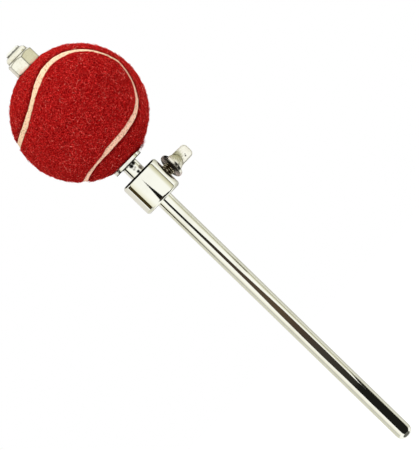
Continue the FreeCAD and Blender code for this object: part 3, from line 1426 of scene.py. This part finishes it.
@dataclass
class ThumbScrew:
    """Thumb screw of the weight: a threaded stud cast into a nickel head."""

    tip_x: float
    shoulder_x: float
    root_end_x: float
    stud_r: float
    axis_z: float
    weight_r: float
    pitch: float = 1.0 * MM
    thread_depth: float = 0.45 * MM
    tip_r: float = 2.0 * MM
    tip_cone: float = 0.2 * MM
    root_r: float = 1.8 * MM
    run_in: float = 1.2 * MM
    proud: float = 0.18 * MM

    @classmethod
    def from_frame(cls) -> "ThumbScrew":
        """Take the screw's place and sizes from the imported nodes."""
        low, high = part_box("clamp_screw_stud")
        return cls(
            tip_x=low.x,
            shoulder_x=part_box("clamp_screw_head")[0].x,
            root_end_x=high.x,
            stud_r=high.y,
            axis_z=(low.z + high.z) / 2,
            weight_r=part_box("weight_collar")[1].x,
        )

    def at(self, along: float, radius: float, turn: float) -> Vector:
        """Point round the screw's axis."""
        return Vector((along, radius * math.cos(turn), self.axis_z + radius * math.sin(turn)))

    def build_stud(self) -> bpy.types.Mesh:
        """Model the stud with its thread, its coned tip and the root inside the head.

        Returns:
            Its mesh.
        """
        thread = ScrewThread(self.stud_r, self.stud_r - self.thread_depth, self.pitch)
        places = []
        for ring in thread.rings(self.tip_x + self.tip_cone, self.shoulder_x, self.run_in):
            fuller = self.proud if ring[0][0] > self.weight_r else 0.0
            places.append([(along, radius + fuller, turn) for along, radius, turn in ring])
        angles = turns(thread.sides)
        tip = [(self.tip_x, self.tip_r, turn) for turn in angles]
        neck = [(self.shoulder_x, self.root_r, turn) for turn in angles]
        root = [(self.root_end_x, self.root_r, turn) for turn in angles]
        rings = [[self.at(*place) for place in ring] for ring in [tip, *places, neck, root]]
        return ringed_mesh("screw_stud", rings, joined=False)

    def head_painted_light_and_specks(self) -> tuple[StainAndShade, ...]:
        """Painted reflections and shade round the shoulder and on the tab, and two specks on it.

        Returns:
            The marks, listed here by their place out from the shoulder, to the side and up,
            their reach, all in mm, their strength and their colour.
        """
        olive, black, pink = screen(190, 188, 150), screen(24, 21, 18), screen(238, 226, 222)
        # Pink: painted reflection of the felt on the flange's underside. Olive: painted shade on
        # the tab's base. The first three black spots: painted dark reflections on the flange; the
        # last two: specks on the tab.
        spots = (
            (-0.4, -0.6, 5.4, 3.6, 1.0, pink),
            (-0.4, -0.6, -5.3, 3.6, 1.0, pink),
            (5.0, -1.6, 1.6, 4.2, 0.9, olive),
            (1.6, -3.8, 5.0, 2.0, 1.0, black),
            (1.7, -5.9, -1.0, 1.6, 0.95, black),
            (1.7, -5.2, -3.2, 1.7, 0.95, black),
            (8.9, -1.3, -1.3, 0.5, 0.9, black),
            (9.3, -1.3, -0.6, 0.35, 0.8, black),
        )
        made = []
        for out, side, rise, reach, strength, colour in spots:
            centre = (self.shoulder_x + out * MM, side * MM, self.axis_z + rise * MM)
            made.append(StainAndShade(centre, reach * MM, strength, colour))
        return tuple(made)

    def build(self) -> None:
        """Model and dress the screw."""
        finish = ThreadFinish(
            "bronzed thread",
            axis_height=self.axis_z,
            root_r=self.stud_r - self.thread_depth + self.proud,
            crest_r=self.stud_r + self.proud,
        )
        add_piece(self.build_stud(), finish.material(), Body.STUD, ("clamp_screw_stud",))
        # Painted shade on the head's underside, round the stud's shoulder.
        shoulder_shade = ShadeAndReflectionBand(
            self.shoulder_x,
            half=0.75 * MM,
            strength=0.95,
            colour=screen(44, 33, 23),
            axis=Axis.X,
        )
        dress_node(
            "clamp_screw_head",
            PlatedFinish(
                "nickel casting",
                colour=screen(252, 250, 236),
                haze_colour=screen(222, 216, 190),
                haze_size=5 * MM,
                haze_share=0.45,
                rough=0.26,
                rough_haze=0.12,
                pit_share=0.3,
                stains_and_shade=self.head_painted_light_and_specks(),
                shade_bands=(shoulder_shade,),
                edge_shade_width=1.2 * MM,
            ),
        )


@dataclass
class RodAndWeight:
    """The plated rod with its washer, lock nut and thread end, and the sliding weight."""

    rod_r: float
    rod_top: float
    nut_base: float
    nut_top: float
    washer_base: float
    swing: float
    crimp_height: float = 2.8 * MM
    crimp_rim: float = 0.1 * MM
    end_line: float = 0.25 * MM
    thread_rise: float = 0.17 * MM
    thread_seat: float = 0.01 * MM
    sleeve_wall: float = 0.3 * MM
    end_bare: float = 0.63 * MM
    pitch: float = 1.25 * MM

    @classmethod
    def from_frame(cls, swing: float) -> "RodAndWeight":
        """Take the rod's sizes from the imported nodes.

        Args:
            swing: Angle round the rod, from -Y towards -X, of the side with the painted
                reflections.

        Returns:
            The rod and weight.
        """
        return cls(
            rod_r=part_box("shaft")[1].x,
            rod_top=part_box("shaft")[1].z,
            nut_base=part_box("lock_nut")[0].z,
            nut_top=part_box("lock_nut")[1].z,
            washer_base=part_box("seat_washer")[0].z,
            swing=swing,
        )

    def on_rod(self, turn_deg: float, below_washer: float) -> Triple:
        """Point on the neck of the rod.

        Args:
            turn_deg: Angle from the side with the painted reflections, in degrees, positive towards
                +X.
            below_washer: Distance below the washer.

        Returns:
            The point.
        """
        turn = math.radians(turn_deg) - self.swing
        height = self.washer_base - below_washer
        return self.rod_r * math.sin(turn), -self.rod_r * math.cos(turn), height

    def build_thread_end(self) -> bpy.types.Mesh:
        """Model the thread that shows on the rod's end above the nut, as a closed sleeve.

        Returns:
            Its mesh.
        """
        core_r = self.rod_r - THREAD_STEP
        thread = ScrewThread(core_r + self.thread_rise, core_r + self.thread_seat, self.pitch)
        start, end = self.nut_top - self.pitch / 2, self.rod_top - self.end_bare
        places = thread.rings(start, end, 0.0)
        inner_r = core_r - self.sleeve_wall
        for along in (end, start):
            places.append([(along, inner_r, turn) for turn in turns(thread.sides)])
        rings = []
        for ring in places:
            rings.append([Vector((r * math.cos(a), r * math.sin(a), z)) for z, r, a in ring])
        return ringed_mesh("rod_thread_end", rings, joined=True)

    def neck_reflections_and_shade(self) -> tuple[StainAndShade, ...]:
        """Painted dark reflections and shadow on the rod's neck, on the side facing the camera.

        Returns:
            The patches, listed here by their angle from the camera's side in degrees, their
            distance below the washer and their reach in mm, their strength and their colour.
        """
        black, grey, brown = screen(20, 20, 18), screen(140, 136, 122), screen(116, 104, 98)
        # All six are painted: reflections in the rod and the washer's shadow.
        spots = (
            (4.0, 1.3, 1.3, 1.0, black),
            (30.0, 0.9, 1.2, 1.0, black),
            (2.0, 3.3, 0.8, 0.6, grey),
            (16.0, 2.9, 0.7, 0.6, grey),
            (12.0, 5.2, 1.0, 1.0, black),
            (48.0, 4.6, 1.7, 0.9, brown),
        )
        made = []
        for turn_deg, below, reach, strength, colour in spots:
            made.append(StainAndShade(self.on_rod(turn_deg, below * MM), reach * MM, strength, colour))
        return tuple(made)

    def build(self) -> None:
        """Model the thread end and dress the plated nodes."""
        # Painted shade: a dark line where the rod leaves the nut's top, and a band under the
        # washer.
        shade_bands = (
            ShadeAndReflectionBand(self.nut_top + self.end_line, half=0.45 * MM, strength=0.75),
            ShadeAndReflectionBand(self.washer_base, half=0.8 * MM, strength=0.6),
        )
        rod = PlatedFinish("bright rod plate", stains_and_shade=self.neck_reflections_and_shade(), shade_bands=shade_bands)
        dress_node("shaft", rod)
        add_piece(self.build_thread_end(), rod.material(), Body.BEATER)
        washer = PlatedFinish(
            "washer plate", haze_share=0.2, rough=0.16, rough_haze=0.1, pit_share=0.3
        )
        dress_node("seat_washer", washer)
        dress_node("weight_collar", PlatedFinish("weight plate", haze_size=12 * MM))
        # Painted shade in the nut's crimp and under its rim, and a painted reflection of the red
        # felt on its base.
        nut_lines = (
            ShadeAndReflectionBand(self.nut_top - self.crimp_height, half=0.3 * MM, strength=0.7),
            ShadeAndReflectionBand(self.nut_top - self.crimp_rim, half=0.35 * MM, strength=0.7),
            ShadeAndReflectionBand(self.nut_base, half=2.2 * MM, strength=0.5, colour=screen(250, 178, 150)),
        )
        dress_node(
            "lock_nut",
            PlatedFinish(
                "satin nut plate",
                colour=screen(250, 248, 230),
                haze_colour=screen(218, 212, 184),
                haze_size=4 * MM,
                haze_share=0.45,
                rough=0.16,
                rough_haze=0.12,
                pit_share=0.35,
                shade_bands=nut_lines,
                edge_shade_width=1.2 * MM,
            ),
        )
        dress_node(
            "lock_nut_insert",
            MouldedFinish("nylon ring", screen(226, 220, 200), screen(206, 198, 176), rough=0.5),
        )


def seen_directly(graph: NodeGraph) -> Shade:
    """1 for rays from the camera and those that metal or glass sends on, else 0.

    Args:
        graph: Nodes of the material or the world.

    Returns:
        The number.
    """
    path = graph.node("ShaderNodeLightPath")
    kinds = ("Is Camera Ray", "Is Glossy Ray", "Is Transmission Ray")
    camera, glossy, through = (Shade(graph, path.outputs[kind]) for kind in kinds)
    return 1 - (1 - camera) * (1 - glossy) * (1 - through)


@dataclass(frozen=True)
class CardFinish(Finish):
    """Reflection card that glows in the tones its points carry and is clear where they say so."""

    layer: str = "tone"

    def shade(self, graph: NodeGraph) -> bpy.types.Node:
        """Glow in the card's tones and let the rest through.

        Args:
            graph: Nodes of the material.

        Returns:
            The shader that the surface takes.
        """
        tone = graph.node("ShaderNodeAttribute", {"attribute_name": self.layer})
        card = graph.node("ShaderNodeEmission", None, {"Color": tone.outputs["Color"]})
        clear = graph.node("ShaderNodeBsdfTransparent")
        inputs = {0: tone.outputs["Alpha"], 1: clear.outputs[0], 2: card.outputs[0]}
        return graph.node("ShaderNodeMixShader", None, inputs)


@dataclass(frozen=True)
class FloorFinish(Finish):
    """White floor that stays white to the camera and keeps a soft shadow."""

    glow_share: float = 0.85
    glow: float = 1.15
    paint: Colour = (0.9, 0.9, 0.9)
    worn_paint: Colour = (0.93, 0.93, 0.92)
    patch_size: float = 0.4

    def shade(self, graph: NodeGraph) -> bpy.types.Node:
        """Mix the white glow that the camera sees with plain paint that takes the shadow.

        Args:
            graph: Nodes of the material.

        Returns:
            The shader that the surface takes.
        """
        seen = seen_directly(graph) * self.glow_share
        colour = graph.mix(graph.noise(self.patch_size), self.paint, self.worn_paint)
        paint = graph.principled({"Base Color": colour, "Roughness": 0.9})
        glow = graph.node("ShaderNodeEmission", None, {"Color": WHITE, "Strength": self.glow})
        inputs = {0: seen, 1: paint.outputs[0], 2: glow.outputs[0]}
        return graph.node("ShaderNodeMixShader", None, inputs)


def blend(first: Colour, second: Colour, part: float) -> Colour:
    """Colour a part of the way from the first to the second."""
    red, green, blue = (a + (b - a) * part for a, b in zip(first, second))
    return red, green, blue


def covering(*stops: tuple[float, Colour]) -> Tones:
    """Tones that cover fully, from stops of a share of the way across and a colour."""
    return tuple((share, colour, 1.0) for share, colour in stops)


def even(colour: Colour) -> Tones:
    """Tones of a card of one colour."""
    return covering((0.0, colour), (1.0, colour))


def upright(low: float, high: float, left: float, right: float) -> Sections:
    """Sections of a card with upright edges."""
    return (low, left, right, 1.0), (high, left, right, 1.0)


@dataclass(frozen=True)
class Card:
    """One reflection card, bent round the rod.

    The sections are (height in mm, left and right edge in degrees, cover). The tones are
    (share of the way from left to right, colour, cover), a cover of 0 being clear. The tints,
    where a card has them, are (height in mm, colour) and take the place of the tones' colours.
    """

    name: str
    sections: Sections
    tones: Tones = even(WHITE)
    tints: tuple[tuple[float, Colour], ...] = ()

    def tone(self, share: float) -> tuple[Colour, float]:
        """Colour and cover at a share of the way from left to right.

        Args:
            share: The share, 0 to 1.

        Returns:
            The colour and the cover.
        """
        for (start, first, thin), (end, second, thick) in zip(self.tones, self.tones[1:]):
            if share <= end:
                break
        part = (share - start) / (end - start)
        return blend(first, second, part), thin + (thick - thin) * part

    def tint(self, height: float, colour: Colour) -> Colour:
        """Tint at a height in mm, or the given colour on a card without tints.

        Args:
            height: The height.
            colour: Colour where the card has no tint.

        Returns:
            The colour.
        """
        for (low, first), (high, second) in zip(self.tints, self.tints[1:]):
            if low <= height <= high:
                return blend(first, second, (height - low) / (high - low))
        return colour


@dataclass(frozen=True)
class Disc:
    """A level card round the rod's axis, with its height and radius."""

    name: str
    height: float
    radius: float
    colour: Colour


@dataclass(frozen=True)
class Lamp:
    """A soft lamp, by its distances from the ball to the side, towards the camera and up.

    Its size is the length of its side, and its level is the brightness that it gives a white
    surface which faces it.
    """

    name: str
    aside: float
    near: float
    above: float
    size: float
    level: float


# Heights in mm where the long cards begin, change their tones under the weight, and end.
CARD_FOOT, CARD_SPLIT, CARD_TOP = -60, 153, 300
# Dark right-hand end of the beige cards.
BEIGE_END = covering(
    (0.83, screen(194, 190, 163)), (0.88, screen(92, 88, 72)), (1.0, screen(92, 88, 72))
)


@dataclass
class Studio:
    """Camera, floor, soft light and the cards that the plate mirrors."""

    width_px: int = 419
    height_px: int = 450
    mm_per_px: float = 0.458
    tip_px: Span = (408.14, 435.83)
    slope_deg: float = 44.17
    swing_deg: float = 18.0
    distance: float = 6.0
    sensor: float = 36.0
    clip: Span = (0.01, 100.0)
    floor_half: float = 6.0
    floor_drop: float = 0.3 * MM
    sky_strength: float = 0.42
    lamps: tuple[Lamp, ...] = (
        Lamp("key", aside=-0.35, near=0.5, above=0.8, size=0.5, level=0.62),
        Lamp("fill", aside=0.7, near=0.4, above=0.7, size=0.8, level=0.26),
        Lamp("rim", aside=0.5, near=-0.5, above=0.65, size=0.8, level=0.85),
    )
    card_r: float = 0.18
    card_gap: float = 1.5 * MM
    card_columns: int = 33
    cards: tuple[Card, ...] = (
        Card("card_dark_low", upright(-400, 33, -31, 84), even(screen(28, 28, 26))),
        Card(
            "card_dark_wedge",
            ((30, 40, 84, 1), (35, 60, 84, 1), (38, 70, 84, 0.6), (42, 77, 84, 0)),
            even(screen(34, 34, 31)),
        ),
        Card(
            "card_line",
            ((105, 70, 82, 1), (112, 71, 82, 0.9), (117, 72, 81, 0.5), (122, 73, 80, 0)),
            even(screen(44, 40, 30)),
        ),
        Card(
            "card_dark",
            (
                (30, -31, 47, 1), (40, -31, 49, 1), (54, -36, 49, 1), (68, -34, 45, 1),
                (82, -30, 41, 1), (95, -23, 30, 1), (109, -20, 19, 1), (127, -20, 15, 1),
                (137, -20, 8, 1), (152, -22, 4, 1), (157, -18, 4, 1), (168, -9, -8, 1),
            ),
            tints=(
                (30, screen(40, 40, 36)), (54, screen(62, 58, 54)), (68, screen(72, 60, 52)),
                (82, screen(86, 71, 58)), (95, screen(82, 69, 58)), (109, screen(70, 58, 50)),
                (127, screen(52, 46, 40)), (137, screen(30, 28, 26)), (168, screen(20, 20, 18)),
            ),
        ),
        Card(
            "card_olive",
            (
                (CARD_FOOT, -101, -78, 0.42), (95, -101, -78, 0.45), (118, -101, -77, 0.6),
                (137, -99, -75, 0.9), (150, -98, -75, 1), (172, -101, -78.5, 1),
            ),
            even(screen(62, 52, 28)),
        ),
        Card("card_neck", upright(172.5, 215, -103, -74), even(screen(14, 13, 11))),
        Card(
            "card_cream",
            upright(CARD_FOOT, CARD_TOP, -80, -45),
            ((0.0, screen(222, 218, 192), 0.8), (1.0, screen(240, 238, 220), 0.0)),
        ),
        Card(
            "card_beige_low",
            upright(CARD_FOOT, CARD_SPLIT, 58, 93),
            (
                (0.0, screen(240, 238, 222), 0.0),
                (0.3, screen(212, 210, 190), 0.85),
                (0.65, screen(204, 202, 180), 1.0),
                *BEIGE_END,
            ),
        ),
        Card(
            "card_beige",
            upright(CARD_SPLIT, CARD_TOP, 58, 93),
            (
                (0.0, screen(240, 238, 222), 0.0),
                (0.3, screen(228, 226, 206), 0.8),
                (0.65, screen(210, 207, 182), 1.0),
                *BEIGE_END,
            ),
        ),
        Card("card_left", upright(CARD_SPLIT, CARD_TOP, -168, -106), even(screen(226, 223, 219))),
        Card(
            "card_left_low",
            upright(CARD_FOOT, CARD_SPLIT, -168, -103),
            covering(
                (0.0, screen(226, 224, 219)),
                (0.5, screen(218, 217, 206)),
                (1.0, screen(206, 205, 188)),
            ),
        ),
        Card(
            "card_right",
            upright(CARD_SPLIT, CARD_TOP, 108, 168),
            covering(
                (0.0, screen(240, 239, 230)), (0.2, screen(232, 230, 220)),
                (0.45, screen(190, 188, 178)), (1.0, screen(160, 158, 150)),
            ),
        ),
        Card(
            "card_right_low",
            upright(CARD_FOOT, CARD_SPLIT, 100, 168),
            covering(
                (0.0, screen(216, 216, 204)), (0.2, screen(216, 215, 205)),
                (0.45, screen(206, 205, 197)), (1.0, screen(170, 168, 160)),
            ),
        ),
        Card("card_limb", upright(156.5, 171, 124, 156), even(screen(30, 28, 24))),
        Card("card_back", upright(CARD_FOOT, CARD_TOP, 170, 190), even(screen(140, 138, 130))),
    )
    discs: tuple[Disc, ...] = (
        Disc("card_under_ball", height=177.9 * MM, radius=18.0 * MM, colour=screen(16, 14, 12)),
        Disc("card_under_tip", height=-9.0 * MM, radius=9.0 * MM, colour=screen(104, 104, 100)),
    )

    def axes(self) -> tuple[Vector, Vector, Vector, Vector]:
        """Directions of the picture.

        Returns:
            Right, up and back towards the camera, and the level direction across the rod.
        """
        swing, slope = math.radians(self.swing_deg), math.radians(self.slope_deg)
        back = Vector((-math.sin(swing), -math.cos(swing), 0))
        side = Vector((math.cos(swing), -math.sin(swing), 0))
        rise = Vector((0, 0, 1))
        right = side * math.sin(slope) - rise * math.cos(slope)
        up = side * math.cos(slope) + rise * math.sin(slope)
        return right, up, back, side

    def target(self) -> Vector:
        """Point of the rod's plane that the picture's middle shows.

        Returns:
            The point.
        """
        right, up, _, _ = self.axes()
        low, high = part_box("shaft")
        tip = Vector(((low.x + high.x) / 2, (low.y + high.y) / 2, low.z))
        across = (self.width_px / 2 - self.tip_px[0]) * self.mm_per_px * MM
        rise = (self.tip_px[1] - self.height_px / 2) * self.mm_per_px * MM
        return tip + right * across + up * rise

    def add_camera(self) -> None:
        """Stand the camera where the photograph was taken from."""
        right, up, back, _ = self.axes()
        data = bpy.data.cameras.new("camera")
        data.sensor_width = self.sensor
        data.lens = self.sensor * self.distance / (self.height_px * self.mm_per_px * MM)
        data.clip_start, data.clip_end = self.clip
        camera = put_in_scene("camera", data)
        turn = Matrix((right, up, back)).transposed().to_4x4()
        camera.matrix_world = Matrix.Translation(self.target() + back * self.distance) @ turn
        bpy.context.scene.camera = camera

    def add_floor(self) -> None:
        """Lay the floor under the rod's free end."""
        level = CAD_BOX[0].z - self.floor_drop
        half = self.floor_half
        plan = ((-half, -half), (half, -half), (half, half), (-half, half))
        mesh = bpy.data.meshes.new("floor")
        mesh.from_pydata([(x, y, level) for x, y in plan], [], [(0, 1, 2, 3)])
        mesh.materials.append(FloorFinish("white floor").material())
        floor = put_in_scene("floor", mesh)
        floor.visible_glossy = False

    def add_sky(self) -> None:
        """White all round to the camera and to the plate, and a soft even light on the rest."""
        world = bpy.data.worlds.new("white room")
        world.use_nodes = True
        bpy.context.scene.world = world
        graph = NodeGraph(world.node_tree)
        strength = self.sky_strength + seen_directly(graph) * (1.0 - self.sky_strength)
        room = graph.node("ShaderNodeBackground", None, {"Color": WHITE, "Strength": strength})
        graph.node("ShaderNodeOutputWorld", None, {"Surface": room.outputs[0]})

    def add_lamp(self, lamp: Lamp, aim: Vector) -> None:
        """Hang one soft lamp.

        Args:
            lamp: The lamp.
            aim: What it points at.
        """
        _, _, back, side = self.axes()
        away = side * lamp.aside + back * lamp.near + Vector((0, 0, lamp.above))
        data = bpy.data.lights.new(lamp.name, "AREA")
        data.size = lamp.size
        data.energy = lamp.level * math.pi**2 * away.length_squared
        hung = put_in_scene(lamp.name, data)
        turn = away.to_track_quat("Z", "Y").to_matrix().to_4x4()
        hung.matrix_world = Matrix.Translation(aim + away) @ turn
        hung.visible_glossy = False

    def put_up(
        self, name: str, points: Ring, faces: Faces, tones: list[tuple[Colour, float]]
    ) -> None:
        """Make one reflection card, which only mirrors show.

        Args:
            name: Its name.
            points: Its points.
            faces: Its faces.
            tones: Colour and cover of each point.
        """
        finish = CardFinish(name)
        mesh = bpy.data.meshes.new(name)
        mesh.from_pydata(points, [], faces)
        layer = mesh.color_attributes.new(finish.layer, "FLOAT_COLOR", "POINT")
        for spot, (colour, cover) in zip(layer.data, tones):
            spot.color = (*colour, cover)
        mesh.materials.append(finish.material())
        thing = put_in_scene(name, mesh)
        for kind in ("camera", "diffuse", "transmission", "volume_scatter", "shadow"):
            setattr(thing, f"visible_{kind}", False)

    def add_card(self, card: Card, reach: float) -> None:
        """Set up one bent card.

        Args:
            card: The card.
            reach: Its distance from the rod's axis.
        """
        _, _, back, side = self.axes()
        eye = self.target().z
        wide = self.card_columns
        points, faces, tones = [], [], []
        for height, left, right, cover in card.sections:
            level = height * MM
            level += (level - eye) * reach / self.distance
            for step in range(wide):
                share = step / (wide - 1)
                turn = math.radians(left + (right - left) * share)
                way = back * math.cos(turn) + side * math.sin(turn)
                points.append(way * reach + Vector((0, 0, level)))
                colour, thick = card.tone(share)
                tones.append((card.tint(height, colour), thick * cover))
        for row in range(len(card.sections) - 1):
            for step in range(wide - 1):
                corner = row * wide + step
                faces.append((corner, corner + 1, corner + wide + 1, corner + wide))
        self.put_up(card.name, points, faces, tones)

    def add_disc(self, disc: Disc) -> None:
        """Set up one level card.

        Args:
            disc: The card.
        """
        points = level_ring(disc.radius, disc.height)
        face = tuple(range(len(points)))
        self.put_up(disc.name, points, [face], [(disc.colour, 1.0)] * len(points))

    def build(self) -> None:
        """Set up the whole studio."""
        self.add_camera()
        self.add_floor()
        self.add_sky()
        ball = Vector((0, 0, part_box("core_half_upper")[0].z))
        for lamp in self.lamps:
            self.add_lamp(lamp, ball)
        for place, card in enumerate(self.cards):
            self.add_card(card, self.card_r + place * self.card_gap)
        for disc in self.discs:
            self.add_disc(disc)
        bpy.context.scene.view_settings.view_transform = "Standard"
        LOG.info("studio: %d cards", len(self.cards) + len(self.discs))


def write_sizes() -> None:
    """Bring the view layer up to date."""
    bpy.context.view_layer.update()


def main() -> None:
    """Build and dress the beater and set up its studio."""
    logging.basicConfig(level=logging.INFO, format="%(name)s %(message)s")
    studio = Studio()
    FeltBall.from_frame().build()
    ThumbScrew.from_frame().build()
    RodAndWeight.from_frame(math.radians(studio.swing_deg)).build()
    studio.build()
    write_sizes()


if __name__ == "__main__":
    main()
